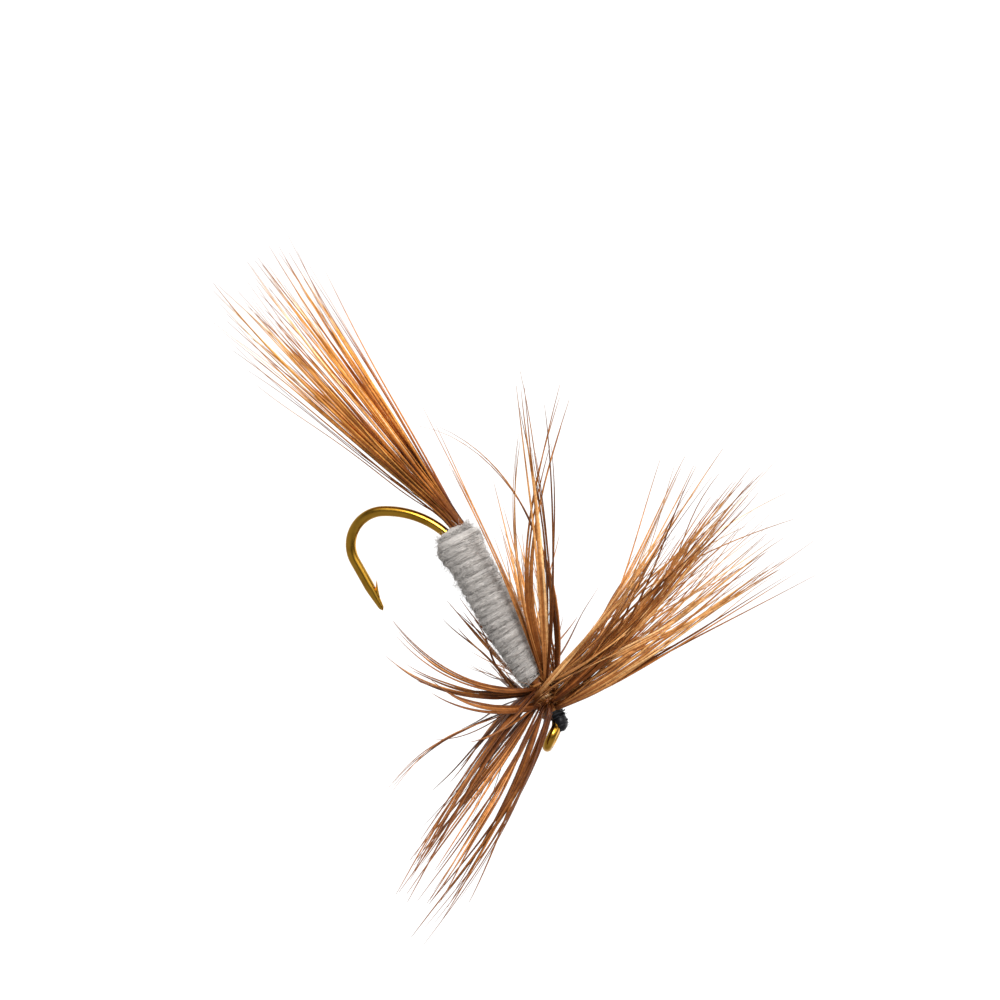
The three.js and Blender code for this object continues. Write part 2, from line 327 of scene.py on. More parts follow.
class Nodes:
    """A short way to write a node material round one Principled shader."""

    def __init__(self, name):
        self.material = bpy.data.materials.new(name)
        self.material.use_nodes = True
        self.tree = self.material.node_tree
        self.shader = self.tree.nodes["Principled BSDF"]

    def add(self, kind, **values):
        node = self.tree.nodes.new(kind)
        for key, value in values.items():
            if key in node.inputs:
                node.inputs[key].default_value = value
            else:
                setattr(node, key, value)
        return node

    def link(self, source, target):
        self.tree.links.new(source, target)

    def attribute(self, name):
        return self.add("ShaderNodeAttribute", attribute_name=name).outputs["Fac"]

    def noise(self, scale, detail=3.0, stretch=(1, 1, 1)):
        """Noise fixed to the object. Its scale is in patches to the metre."""
        where = self.add("ShaderNodeTexCoord").outputs["Object"]
        mapping = self.add("ShaderNodeMapping")
        mapping.inputs["Scale"].default_value = stretch
        self.link(where, mapping.inputs["Vector"])
        noise = self.add("ShaderNodeTexNoise", Scale=scale, Detail=detail)
        self.link(mapping.outputs[0], noise.inputs["Vector"])
        return noise.outputs["Fac"]

    def ramp(self, source, stops):
        ramp = self.add("ShaderNodeValToRGB")
        fill_ramp(ramp, stops)
        self.link(source, ramp.inputs[0])
        return ramp.outputs[0]

    def mix(self, factor, a, b):
        return mixed(self.tree, factor, a, b, "MIX")

    def times(self, a, b):
        return mixed(self.tree, 1.0, a, b, "MULTIPLY")

    def spread(self, source, low, high):
        spread = self.add("ShaderNodeMapRange")
        spread.inputs["To Min"].default_value = low
        spread.inputs["To Max"].default_value = high
        self.link(source, spread.inputs["Value"])
        return spread.outputs[0]

    def colour(self, source):
        self.link(source, self.shader.inputs["Base Color"])

    def rough(self, source, low, high):
        self.link(self.spread(source, low, high), self.shader.inputs["Roughness"])

    def bump(self, height, distance, strength=1.0):
        bump = self.add("ShaderNodeBump", Strength=strength, Distance=distance)
        self.link(height, bump.inputs["Height"])
        self.link(bump.outputs[0], self.shader.inputs["Normal"])

    def set(self, **values):
        for key, value in values.items():
            self.shader.inputs[key.replace("_", " ")].default_value = value


def feather_material(name, dark, mid, light):
    """Cock feather: orange-brown barbs, darker at the root, with a dark tip. Outwards they grow
    paler, partly in their own colour and partly as a painted glow of light through the thin barbs.
    """
    n = Nodes(name)
    along = n.attribute("along")
    patches = n.noise(420, 2.0)
    streak = n.noise(5200, 3.0)
    barb = n.ramp(n.attribute("tint"), [(0.0, dark), (0.35, mid), (0.72, light), (1.0, PALE_BARB)])
    blotch = n.ramp(patches, [(0.3, (0.62, 0.55, 0.48)), (0.62, (1.12, 1.12, 1.12))])
    streaks = n.ramp(streak, [(0.35, (0.7, 0.64, 0.58)), (0.6, WHITE)])
    root = n.ramp(along, [(0.0, (0.42, 0.36, 0.3)), (0.2, (0.82, 0.79, 0.77)), (0.4, WHITE)])
    # Painted light: towards the tips the barbs brighten past their own colour, a painted glow of
    # light through the thin barbs as well as their paler outer parts.
    pale = n.ramp(along, [(0.14, WHITE), (0.6, (1.7, 2.1, 2.6))])
    for layer in (blotch, streaks, root, pale):
        barb = n.times(barb, layer)
    n.colour(n.mix(n.ramp(along, [(0.82, BLACK), (1.0, WHITE)]), barb, DARK_TIP))
    n.rough(streak, 0.3, 0.5)
    n.bump(streak, 0.00001, 0.5)
    n.set(Specular_IOR_Level=0.22)
    return n.material


def yarn_material(name, low, high):
    """Soft wool yarn: matt, with paler and darker fibres and a faint sheen."""
    n = Nodes(name)
    fibre = n.ramp(n.attribute("tint"), [(0.0, low), (1.0, high)])
    fleck = n.noise(3200, 5.0, (2.2, 1, 1))
    n.colour(n.times(fibre, n.ramp(fleck, [(0.25, (0.72, 0.72, 0.73)), (0.6, WHITE)])))
    n.rough(fleck, 0.85, 1.0)
    n.bump(n.noise(6500, 4.0, (3, 1, 1)), 0.00004, 0.7)
    n.set(Sheen_Weight=0.35, Sheen_Roughness=0.5, Specular_IOR_Level=0.15)
    return n.material


def bronze_material():
    """Bronzed hook wire: golden brown, mottled, with fine drawing marks along it."""
    n = Nodes("bronzed_wire")
    n.colour(n.ramp(n.noise(900, 4.0), [(0.3, (0.40, 0.195, 0.018)), (0.55, (0.56, 0.30, 0.036)),
                                        (0.75, (0.46, 0.23, 0.024))]))
    n.rough(n.noise(5200, 3.0, (0.3, 1, 1)), 0.12, 0.3)
    n.bump(n.noise(3500, 3.0), 0.000004, 0.4)
    n.set(Metallic=1.0)
    return n.material


def thread_material(name, colour, pale, rough):
    """Black tying thread, twisted from fine fibres."""
    n = Nodes(name)
    fibre = n.noise(7000, 3.0, (1, 2, 2))
    thread = n.ramp(n.attribute("tint"), [(0.0, colour), (1.0, pale)])
    n.colour(n.times(thread, n.ramp(fibre, [(0.3, (0.5, 0.5, 0.5)), (0.7, WHITE)])))
    n.rough(fibre, rough - 0.1, rough + 0.1)
    n.bump(fibre, 0.00002, 0.6)
    n.set(Specular_IOR_Level=0.2)
    return n.material


def quill_material():
    """The feather's stem: a tan quill with darker streaks."""
    n = Nodes("hackle_quill")
    streak = n.noise(3000, 4.0)
    n.colour(n.ramp(streak, [(0.3, (0.16, 0.065, 0.02)), (0.6, (0.42, 0.24, 0.10))]))
    n.rough(streak, 0.25, 0.45)
    n.bump(streak, 0.00001, 0.4)
    return n.material


def varnish_material():
    """Glossy head varnish over black thread: near black, in browner patches."""
    n = Nodes("head_varnish")
    flow = n.noise(1500, 2.0)
    n.colour(n.ramp(flow, [(0.3, (0.012, 0.010, 0.009)), (0.7, (0.03, 0.022, 0.016))]))
    n.rough(flow, 0.05, 0.16)
    n.bump(flow, 0.00002, 0.3)
    n.set(Coat_Weight=0.6, Coat_Roughness=0.06)
    return n.material


MATERIALS = {
    "hackle": feather_material("hackle_barbs", HACKLE_DARK, HACKLE_MID, HACKLE_LIGHT),
    "tail": feather_material("tail_barbs", TAIL_DARK, TAIL_MID, TAIL_LIGHT),
    "yarn": yarn_material("body_yarn_wool", (0.37, 0.345, 0.32), (0.76, 0.72, 0.68)),
    # Painted shade: the first layer is wool like the body yarn, coloured darker because it shows
    # only in the gaps between and behind the outer turns.
    "filling": yarn_material("yarn_filling_wool_painted_shade", (0.34, 0.32, 0.30), (0.48, 0.455, 0.435)),
    "bronze": bronze_material(),
    "binding": thread_material("binding_thread", (0.01, 0.01, 0.012), (0.035, 0.035, 0.04), 0.5),
    "head": thread_material("head_thread_black", (0.006, 0.006, 0.008), (0.02, 0.02, 0.024), 0.42),
    "quill": quill_material(),
    "varnish": varnish_material(),
}


# ---------------------------------------------------------------------------------------------
# Hook
# ---------------------------------------------------------------------------------------------

def eye_line():
    """The wire round the eye, and the heading with which it leaves."""
    down = np.array([math.cos(EYE_DOWN), 0, -math.sin(EYE_DOWN)])
    across = np.array([0, 1, 0])
    angles = np.linspace(EYE_STARTS, EYE_ENDS, 48)
    eye = [EYE_RADIUS * (-math.cos(a) * down + math.sin(a) * across) for a in angles]
    return eye, math.sin(EYE_ENDS) * down + math.cos(EYE_ENDS) * across


def neck_line(start, heading, end):
    """The curve from the eye up to the front end of the shank."""
    handles = [start, start + heading * NECK_REACH, end + (NECK_REACH, 0, 0), end]
    neck = []
    for t in np.linspace(0, 1, 15)[1:]:
        weights = ((1 - t) ** 3, 3 * t * (1 - t) ** 2, 3 * t * t * (1 - t), t ** 3)
        neck.append(sum(w * h for w, h in zip(weights, handles)))
    return neck


def arc(x, z, radius, start, end, steps):
    angles = np.linspace(start, end, steps + 1)[1:]
    return [np.array([x - radius * math.sin(a), 0, z + radius * math.cos(a)]) for a in angles]


def hook_line():
    """The wire's line and its radius: round the eye, up the neck, back along the shank, round the
    bend, which tightens, and out to the point."""
    eye, heading = eye_line()
    neck = neck_line(eye[-1], heading, np.array([SHANK_FRONT, 0, SHANK_Z]))
    shank = [np.array([x, 0, SHANK_Z]) for x in np.linspace(SHANK_FRONT, SHANK_BACK, 24)[1:]]

    gap = SHANK_Z - SPEAR_Z
    easy = (gap - BEND_CLOSE * (1 + math.cos(BEND_TURN))) / (1 - math.cos(BEND_TURN))
    close_x = SHANK_BACK - (easy - BEND_CLOSE) * math.sin(BEND_TURN)
    bend = arc(SHANK_BACK, SHANK_Z - easy, easy, 0, BEND_TURN, 24)
    bend += arc(close_x, SPEAR_Z + BEND_CLOSE, BEND_CLOSE, BEND_TURN, math.pi, 48)

    line = eye + neck + shank + bend
    radii = [WIRE] * len(line)
    radii[:3] = [WIRE * 0.7, WIRE * 0.86, WIRE * 0.95]
    thickens = 20
    radii[-len(bend):] = [WIRE + (BEND_WIRE - WIRE) * min(1, i / thickens) for i in range(len(bend))]
    for t in np.linspace(0, 1, 18):
        line.append(np.array([close_x + SPEAR - POINT_TAPER * (1 - t), 0, SPEAR_Z]))
        radii.append(BEND_WIRE - 0.19 * t ** 1.2 - 0.12 * ease((t - 0.85) / 0.15) ** 2)
    return np.array(line), np.array(radii)


def make_hook():
    line, radii = hook_line()
    strands = Strands()
    strands.add(line, radii, radii, sides=28, facing=(0, 1, 0.001))
    root = line[-1] + BARB_ROOT
    back = np.array([-math.cos(BARB_LIFT), 0, math.sin(BARB_LIFT)])
    parts = np.linspace(0, 1, 9)
    barb = [root + back * BARB_LENGTH * t + np.array([0, 0, 0.09 * t * t]) for t in parts]
    strands.add(barb, 0.16 * (1 - parts ** 1.6) + 0.014, 0.15 * (1 - parts) + 0.012, sides=12)
    strands.build("hook_wire", MATERIALS["bronze"], ["hook"])


# ---------------------------------------------------------------------------------------------
# Body
# ---------------------------------------------------------------------------------------------

def along_body(x, start, length):
    """Eases from 0 to 1 over a length of the body that starts so far from its back end."""
    return ease((x - BODY_BACK - start) / length)


def body_radius(x):
    rounding = along_body(x, -0.1, 0.7)
    eases = along_body(x, 0.75, 1.3)
    taper = along_body(x, 5.45, BODY_LENGTH - 5.15)
    return BACK_RADIUS + BACK_ROUNDING * rounding - BODY_EASES * eases - BODY_TAPER * taper


def body_height(x):
    """The height of the winding's middle line, a little above the shank's towards the back."""
    return SHANK_Z + 0.04 * (1 - along_body(x, 5.95, BODY_LENGTH - 5.95))


def yarn_turn(x):
    """How far round the winding is at x, in radians."""
    return (x - BODY_BACK) / YARN_PITCH * FULL_TURN


def yarn_surface(x, angle):
    """The wound yarn's outer radius: a soft ridge for each turn of the strand."""
    from_ridge = ((angle - yarn_turn(x)) / FULL_TURN + 0.5) % 1.0 - 0.5
    return body_radius(x) - YARN_RIDGE * (2 * np.abs(from_ridge)) ** 2


def wrap_point(x, angle, radius):
    """A point of the winding. The turns lean towards the tail over the back, most at the front."""
    lean = 0.04 + 0.2 * along_body(x, 3.95, 5)
    return np.stack([
        x - lean * radius * np.cos(angle),
        radius * np.sin(angle),
        body_height(x) + radius * np.cos(angle),
    ], -1)


def add_yarn(strands, rng):
    """The strand itself, wound from the back of the body to its front."""
    angle = np.linspace(0, YARN_TURNS * FULL_TURN, int(YARN_TURNS * 40))
    x = BODY_BACK + angle / FULL_TURN * YARN_PITCH
    lumps = 0.03 * np.sin(angle * 3.1) * np.sin(angle * 1.7 + 1) + rng.normal(0, 0.006, len(angle))
    radius = body_radius(x) - YARN_DEEP - 0.02 + lumps
    from_end = np.minimum(np.arange(len(x)), np.arange(len(x))[::-1])
    ends = np.minimum(1, from_end / 14 + 0.25)
    strands.add(wrap_point(x, angle, radius), YARN_WIDE * ends, YARN_DEEP * ends, 12, away(angle),
                tint=0.55)


def add_yarn_start(strands):
    """The first turns, which round off the back end between the wire and the tail."""
    steps = 90
    angle = np.linspace(-2.3 * FULL_TURN, 0, steps)
    rise = np.linspace(0, 1, steps)
    radius = 0.42 + (body_radius(BODY_BACK) - YARN_DEEP - 0.46) * rise ** 0.8
    x = BODY_BACK - 0.24 * (1 - rise ** 2)
    facing = away(angle) - (1.2, 0, 0)
    strands.add(wrap_point(x, angle, radius), 0.24, 0.17, 10, facing, tint=0.55)


def add_lying_fibre(strands, rng):
    """A fibre that lies round the body with the strand, a little skewed by its twist. Its tint
    paints light and shade: darker off the strand's ridge, paler towards the back end, and in
    patches."""
    start = rng.uniform(-0.6 * FULL_TURN, (YARN_TURNS + 0.7) * FULL_TURN)
    reach = rng.uniform(0.4, 1.5)
    span = np.linspace(0, 1, 6)
    angle = start + reach * span
    skew = rng.normal(0, 0.14)
    drift = rng.normal(0, 0.15)
    x = BODY_BACK + start / FULL_TURN * YARN_PITCH + drift + span * (reach * LYING_PITCH + skew)
    x = np.clip(x, BODY_BACK - 0.22, BODY_FRONT + 0.34)
    lift = rng.uniform(-0.04, 0.04) + 0.04 * np.sin(span * math.pi) * rng.uniform(-1, 1)
    radius = yarn_surface(x, angle) + lift - 0.05 * (2 * span - 1) ** 4
    radius = radius - 0.5 * np.clip(BODY_BACK - 0.02 - x, 0, 1)
    radius = radius - 0.7 * np.clip(x - BODY_FRONT - 0.1, 0, 1)
    thick = rng.uniform(0.010, 0.022)
    # Painted light and shade: patches of paler and darker fibres paint the lumps of the yarn as well
    # as its uneven tone.
    painted_light_and_tone = math.sin(start * 2.3 + 1.0) * math.sin(start * 0.71 + drift * 9)
    # Painted light: fibres grow paler towards the back end, where the light falls on the body.
    painted_light_and_tone = painted_light_and_tone + 1.2 * (1 - along_body(x[0], 0.35, 3))
    # Painted shade: the further a fibre drifts off the strand's ridge into a groove, the darker it
    # is.
    tint = np.clip(0.88 - 2.4 * abs(drift) + 0.24 * painted_light_and_tone + rng.normal(0, 0.13), 0, 1)
    strands.add(wrap_point(x, angle, radius), thick, thick * 0.8, 3, tint=tint)


def add_flyaway(strands, rng):
    """A fine fibre that stands off the yarn and curls. More of them grow at the back end."""
    angle = rng.uniform(0, FULL_TURN)
    x = rng.uniform(BODY_BACK - 0.1, BODY_FRONT + 0.1)
    if rng.random() < 0.12:
        x = rng.uniform(BODY_BACK - 0.25, BODY_BACK + 0.2)
    root = wrap_point(x, np.float64(angle), yarn_surface(x, angle) - 0.04)
    heading = unit(away(angle) * rng.uniform(0.1, 0.9) + onward(angle) * rng.normal(0, 1)
                   + np.array([rng.normal(-0.1, 0.7), 0, 0]))
    curl = rng.normal(0, 1.0, 3)
    line = curled(root, heading, rng.uniform(0.15, 0.7), curl, 5)
    thick = np.linspace(0.010, 0.005, 6)
    strands.add(line, thick, thick, 3, tint=rng.uniform(0.6, 1))


def make_body():
    rng = np.random.default_rng(BODY_SEED)
    strands = Strands()
    add_yarn(strands, rng)
    add_yarn_start(strands)
    for _ in range(LYING_FIBRES):
        add_lying_fibre(strands, rng)
    strands.build("wound_body_yarn", MATERIALS["yarn"], ["body_yarn"])
    fuzz = Strands()
    for _ in range(FLYAWAYS):
        add_flyaway(fuzz, rng)
    fuzz.build("body_yarn_fuzz", MATERIALS["yarn"])


def make_filling():
    """The first layer of yarn. It fills the body out to the visible turns and closes its ends."""
    rng = np.random.default_rng(FILLING_SEED)
    x = np.linspace(BODY_BACK - 0.12, BODY_FRONT + 0.12, 60)
    ends = np.minimum(ease((x - x[0]) / 0.5 + 0.3), ease((x[-1] - x) / 0.3 + 0.45))
    radius = (body_radius(x) - 0.28) * ends + rng.normal(0, 0.01, len(x))
    strands = Strands()
    strands.add(along_x(x, body_height(x)), radius, radius, 28, facing=(0, 0, 1), tint=0.5)
    # Fibres across the blunt back end, between the wire and the tail.
    for _ in range(END_FIBRES):
        angle = rng.uniform(0, FULL_TURN)
        span = np.linspace(0, 1, 8)
        sweep = angle + span * rng.uniform(0.6, 2.2)
        radius = rng.uniform(0.35, 1.15) + rng.normal(0, 0.05) * span
        back = BODY_BACK - 0.36 + 0.3 * (radius / 1.25) ** 2 + rng.uniform(-0.03, 0.06)
        line = ring_line(back, sweep, radius, body_height(BODY_BACK))
        strands.add(line, 0.022, 0.016, 4, tint=rng.uniform(0.2, 1))
    strands.build("yarn_first_layer", MATERIALS["filling"], ["yarn_underlayer"])


# ---------------------------------------------------------------------------------------------
# Thread
# ---------------------------------------------------------------------------------------------

def thread_coil(strands, start, end, turns, radius_at, thick, rng, twist=0.0, wobble=0.01):
    """Thread wound round the shank from start to end, with a slightly uneven radius."""
    angle = np.linspace(0, turns * FULL_TURN, int(turns * 26)) + twist
    x = np.linspace(start, end, len(angle))
    radius = radius_at(x) + rng.normal(0, wobble, len(x)).cumsum() * 0.15
    line = ring_line(x, angle, radius, SHANK_Z)
    strands.add(line, thick, thick * 0.8, 6, away(angle), tint=rng.uniform(0.2, 0.9))


def make_thread_base(rng):
    base = Strands()
    thread_coil(base, base_low[0], base_high[0] - 0.03, BASE_TURNS, lambda x: 0 * x + BASE_RADIUS,
                THREAD, rng)
    base.build("thread_base_turns", MATERIALS["binding"], ["thread_base"])


def make_tail_lashing():
    """The turns that bind the tail's butts down on the shank, wound from front to back."""
    low, high = box_mm("tail_lashing")
    angle = np.linspace(0, LASHING_TURNS * FULL_TURN, 190)
    x = np.linspace(high[0] - 0.05, low[0] + 0.05, len(angle))
    half = (high - low) / 2 - 0.04
    height = (low[2] + high[2]) / 2 - 0.1 * (high[0] - x - 0.4)
    line = np.stack([x, half[1] * np.sin(angle), height + (half[2] - 0.04) * np.cos(angle)], -1)
    lashing = Strands()
    lashing.add(line, 0.045, 0.04, 6, tint=0.5)
    lashing.build("tail_lashing_turns", MATERIALS["binding"], ["tail_lashing"])


def make_tie_off(rng):
    low, high = box_mm("yarn_tie_off")
    tie_off = Strands()
    thread_coil(tie_off, low[0] + 0.03, high[0] - 0.03, TIE_OFF_TURNS,
                lambda x: 0 * x + TIE_OFF_RADIUS, THREAD, rng)
    tie_off.build("yarn_tie_off_turns", MATERIALS["binding"], ["yarn_tie_off"])


def make_threads():
    rng = np.random.default_rng(THREAD_SEED)
    make_thread_base(rng)
    make_tail_lashing()
    make_tie_off(rng)


def head_radius(x):
    """The thread head is a short barrel, fullest near its middle."""
    t = np.clip((x - head_low[0]) / (head_high[0] - head_low[0]), 0, 1)
    return HEAD_RADIUS + HEAD_BULGE * np.sin(np.clip(t * 0.92 + 0.06, 0, 1) * math.pi) ** 0.7


def make_head_thread(rng):
    """The head's solid core and the three layers of turns over it."""
    back, front = head_low[0], head_high[0]
    head = Strands()
    x = np.linspace(back + 0.02, front + 0.06, 18)
    core = head_radius(x) - 0.02
    head.add(along_x(x, SHANK_Z), core, core, 24, (0, 0, 1), tint=0.1)
    thread_coil(head, back + 0.03, front, 8, head_radius, 0.055, rng, 0.3)
    thread_coil(head, front - 0.02, back + 0.08, 5.3, lambda x: head_radius(x) + 0.035, 0.055, rng,
                1.4, 0.02)
    thread_coil(head, back + 0.15, front + 0.04, 3.2, lambda x: head_radius(x) + 0.06, 0.05, rng,
                4.0, 0.03)
    head.build("head_thread_turns", MATERIALS["head"], ["head_thread"])


def between(place, ends):
    return np.interp(place, [0, 1], ends)


def knot_radius(place):
    return KNOT_RADIUS * np.sin(place * math.pi) ** 0.5


def add_knot_loop(knot, rng):
    """A loop of thread that wanders round the knot, from one place along it to another."""
    steps = 44
    turns = rng.uniform(1.1, 2.2)
    angle = np.linspace(0, turns * FULL_TURN, steps) + rng.uniform(0, FULL_TURN)
    place = rng.uniform(0.12, 0.85) + np.linspace(0, rng.uniform(-0.35, 0.35), steps)
    place = np.clip(place, 0.05, 0.95)
    radius = knot_radius(place) + rng.uniform(0.0, 0.06)
    line = np.stack([between(place, KNOT_ENDS), radius * 1.2 * np.sin(angle),
                     between(place, KNOT_HEIGHTS) + radius * np.cos(angle)], -1)
    knot.add(line, 0.052, 0.045, 6, tint=rng.uniform(0.2, 1))


def add_cut_end(knot, rng):
    """A short cut end or a bit of fluff of the tying thread."""
    place = rng.uniform(0, 1)
    angle = rng.uniform(0, FULL_TURN)
    middle = np.array([between(place, [knot_low[0], knot_high[0]]), 0,
                       between(place, CUT_END_HEIGHTS)])
    heading = unit(np.array([rng.normal(0.1, 0.5), math.sin(angle), math.cos(angle)]))
    curl = rng.normal(0, 0.8, 3)
    line = curled(middle + 0.2 * away(angle), heading, rng.uniform(0.12, 0.34), curl, 5)
    knot.add(line, 0.012, 0.012, 3, tint=rng.uniform(0.3, 1))


def make_knot(rng):
    """The whip finish: a lump of crossing loops between the head and the eye."""
    knot = Strands()
    t = np.linspace(0, 1, 14)
    core = np.stack([between(t, KNOT_ENDS), 0 * t, between(t, KNOT_HEIGHTS)], -1)
    size = knot_radius(np.clip(t * 0.94 + 0.03, 0, 1))
    knot.add(core, size * 1.3 + 0.02, size + 0.01, 20, (0, 0, 1), tint=0.1)
    for _ in range(KNOT_LOOPS):
        add_knot_loop(knot, rng)
    for _ in range(CUT_ENDS):
        add_cut_end(knot, rng)
    knot.build("whip_finish_knot", MATERIALS["head"], ["head_knot"])


def make_varnish():
    low, high = box_mm("head_varnish")
    t = np.linspace(0, 1, 12)
    x = np.linspace(low[0] - 0.02, high[0] + 0.02, 12)
    outer = head_radius(x) + 0.075 * np.sin(t * math.pi) ** 0.5
    film = Strands()
    film.add(along_x(x, SHANK_Z), outer, outer, 40, (0, 0, 1))
    film.build("head_varnish_film", MATERIALS["varnish"], ["head_varnish"])


def make_head():
    rng = np.random.default_rng(HEAD_SEED)
    make_head_thread(rng)
    make_knot(rng)
    make_varnish()


# ---------------------------------------------------------------------------------------------
# Feather fibres
# ---------------------------------------------------------------------------------------------

def clear_of_body(line):
    """Lets a line lie on the wound body instead of running through it."""
    line = line.copy()
    over = (line[:, 0] > BODY_BACK - 0.2) & (line[:, 0] < BODY_FRONT + 0.3)
    height = body_height(line[:, 0])
    out = np.stack([line[:, 1], line[:, 2] - height], -1)
    radius = np.linalg.norm(out, axis=1)
    least = body_radius(line[:, 0]) + 0.06
    push = np.where(over & (radius < least), least / np.maximum(radius, 1e-6), 1.0)
    line[:, 1] = out[:, 0] * push
    line[:, 2] = height + out[:, 1] * push
    return line


def grown(root, out, headings, length, s, free=1.5):
    """A fibre's line of the stated length. It leaves along out, takes up its first heading within
    the free length, and bends through its middle heading to the last one at its tip."""
    first, middle, last = headings
    t = ((s[1:] + s[:-1]) / 2)[:, None]
    leave = ease(t * length / free)
    through = 2 * middle - (first + last) / 2
    bent = (1 - t) ** 2 * first + 2 * t * (1 - t) * through + t ** 2 * last
    heading = unit((1 - leave) * out + leave * unit(bent))
    steps = heading * (np.diff(s) * length)[:, None]
    return np.vstack([root, root + np.cumsum(steps, axis=0)])


def side_heading(turn, lean):
    """A heading as the fly's near side shows it: turned from straight up its back (0) towards its
    tail (90) and its belly (180), and leaning out towards the viewer. In degrees."""
    turn, lean = math.radians(turn), math.radians(lean)
    return np.array([
        -math.sin(turn) * math.cos(lean),
        -math.sin(lean),
        math.cos(turn) * math.cos(lean),
    ])


# The hackle's barbs cling together in flat ribbons. Each row is one kind of ribbon:
# feather, ribbons, barbs in each, roots round the shank (0 the back, 90 the far side, 180 the
# belly, -90 the near side), then (turn, lean) as it leaves the collar, at its middle and at its
# tips, its reach in mm, how much turn and lean vary from ribbon to ribbon, and how far its barbs
# part at their tips, in mm. The two feathers take the ribbons of a "both" row by turns. An "edge"
# row belongs to the front feather, and its ribbons are rooted at the collar's front edge.
RIBBONS = [
    ("edge", 3, 5, (-70, -35), (-8, 4), (7, 4), (5, 4), 18.5, (3, 4), 0.8),
    ("edge", 2, 5, (-60, -30), (2, 0), (15, 0), (12, 0), 20.0, (3, 6), 1.0),
    ("both", 2, 4, (-60, 50), (-14, 0), (4, 0), (2, 0), 18.5, (2, 15), 1.0),
    ("both", 3, 4, (-80, 50), (-8, 0), (11, 0), (8, 0), 20.0, (6, 18), 1.3),
    ("both", 4, 4, (-60, 50), (2, 0), (18, 0), (15, 0), 20.5, (8, 18), 1.4),
    ("both", 4, 4, (-60, 30), (12, 0), (23, 0), (24, 0), 19.0, (4, 14), 1.0),
    ("both", 4, 2, (-60, 30), (-6, 5), (20, 8), (36, 8), 17.0, (5, 12), 0.8),
    ("both", 4, 2, (-60, 30), (20, 5), (15, 8), (-4, 8), 19.0, (5, 12), 0.8),
    ("rear", 1, 6, (-50, -40), (52, 14), (65, 12), (71, 10), 21.5, (1, 2), 0.4),
    ("rear", 1, 4, (-50, -40), (57, 16), (62, 14), (64, 12), 20.5, (1, 2), 0.4),
    ("rear", 1, 5, (-55, -45), (82, 16), (50, 14), (40, 10), 20.0, (1, 2), 0.3),
    ("rear", 1, 5, (-58, -50), (78, 14), (64, 12), (48, 10), 19.0, (1, 2), 0.4),
    ("rear", 1, 4, (-60, -54), (76, 10), (82, 6), (86, 2), 19.0, (1, 2), 0.2),
    ("front", 1, 2, (-40, -20), (45, 12), (91, 12), (176, 10), 27.0, (1, 2), 0.1),
    ("rear", 6, 3, (120, 190), (110, -36), (103, -30), (99, -26), 9.5, (6, 7), 0.6),
    ("rear", 2, 5, (-120, -80), (153, 48), (115, 57), (82, 56), 15.5, (2, 3), 0.3),
    ("front", 1, 4, (-130, -90), (162, 46), (120, 58), (90, 56), 13.5, (2, 3), 0.3),
    ("front", 1, 5, (-130, -90), (160, 46), (176, 46), (214, 38), 15.5, (1, 3), 0.2),
    ("rear", 2, 5, (-130, -90), (200, 44), (205, 40), (211, 34), 17.5, (1.5, 3), 0.4),
    ("front", 2, 4, (-130, -90), (214, 36), (210, 33), (206, 30), 17.5, (2, 4), 0.4),
    ("front", 2, 4, (-130, -80), (220, 28), (212, 26), (206, 24), 17.5, (2, 4), 0.4),
    ("front", 2, 4, (-105, -80), (228, 16), (209, 18), (204, 18), 17.5, (1.5, 3), 0.3),
    ("front", 1, 4, (-78, -66), (236, 20), (210, 20), (202, 18), 17.5, (1, 2), 0.3),
    ("both", 3, 1, (-150, -80), (200, 40), (190, 52), (140, 50), 10.0, (10, 8), 0.2),
    ("both", 8, 1, (20, 160), (50, -58), (55, -64), (50, -62), 16.5, (45, 12), 0.3),
    ("both", 6, 1, (40, 200), (150, -58), (150, -64), (145, -62), 16.0, (40, 12), 0.3),
    ("both", 4, 6, (20, 70), (6, -36), (16, -44), (18, -40), 17.5, (6, 8), 0.9),
    ("both", 3, 6, (50, 100), (80, -42), (84, -50), (86, -46), 17.5, (3, 7), 0.8),
    ("both", 5, 6, (80, 140), (94, -54), (96, -62), (92, -56), 17.5, (5, 8), 0.8),
    ("both", 3, 6, (70, 120), (90, -70), (90, -77), (88, -72), 17.0, (8, 4), 0.8),
    ("both", 4, 6, (120, 180), (198, -38), (206, -42), (206, -38), 17.0, (5, 8), 0.8),
    ("both", 3, 5, (100, 160), (150, -66), (150, -74), (140, -70), 16.5, (12, 5), 0.8),
    ("front", 2, 2, (-170, -140), (40, 62), (14, 20), (20, 10), 16.5, (5, 6), 0.4),
    ("front", 4, 3, (-60, 20), (13, 4), (27, 6), (29, 6), 18.5, (4, 9), 1.3),
    ("front", 1, 2, (-40, -25), (51, 12), (81, 12), (136, 10), 21.5, (1, 2), 0.1),
]

def loose_hair(strands, rng, root, heading, length, thick, steps, tint, along):
    """A short hair that curls as it goes."""
    line = curled(root, heading, length, rng.normal(0, 0.6, 3), steps)
    width = np.linspace(thick, thick * 0.4, steps + 1)
    strands.add(line, width, width, 3, tint=tint, along=along)


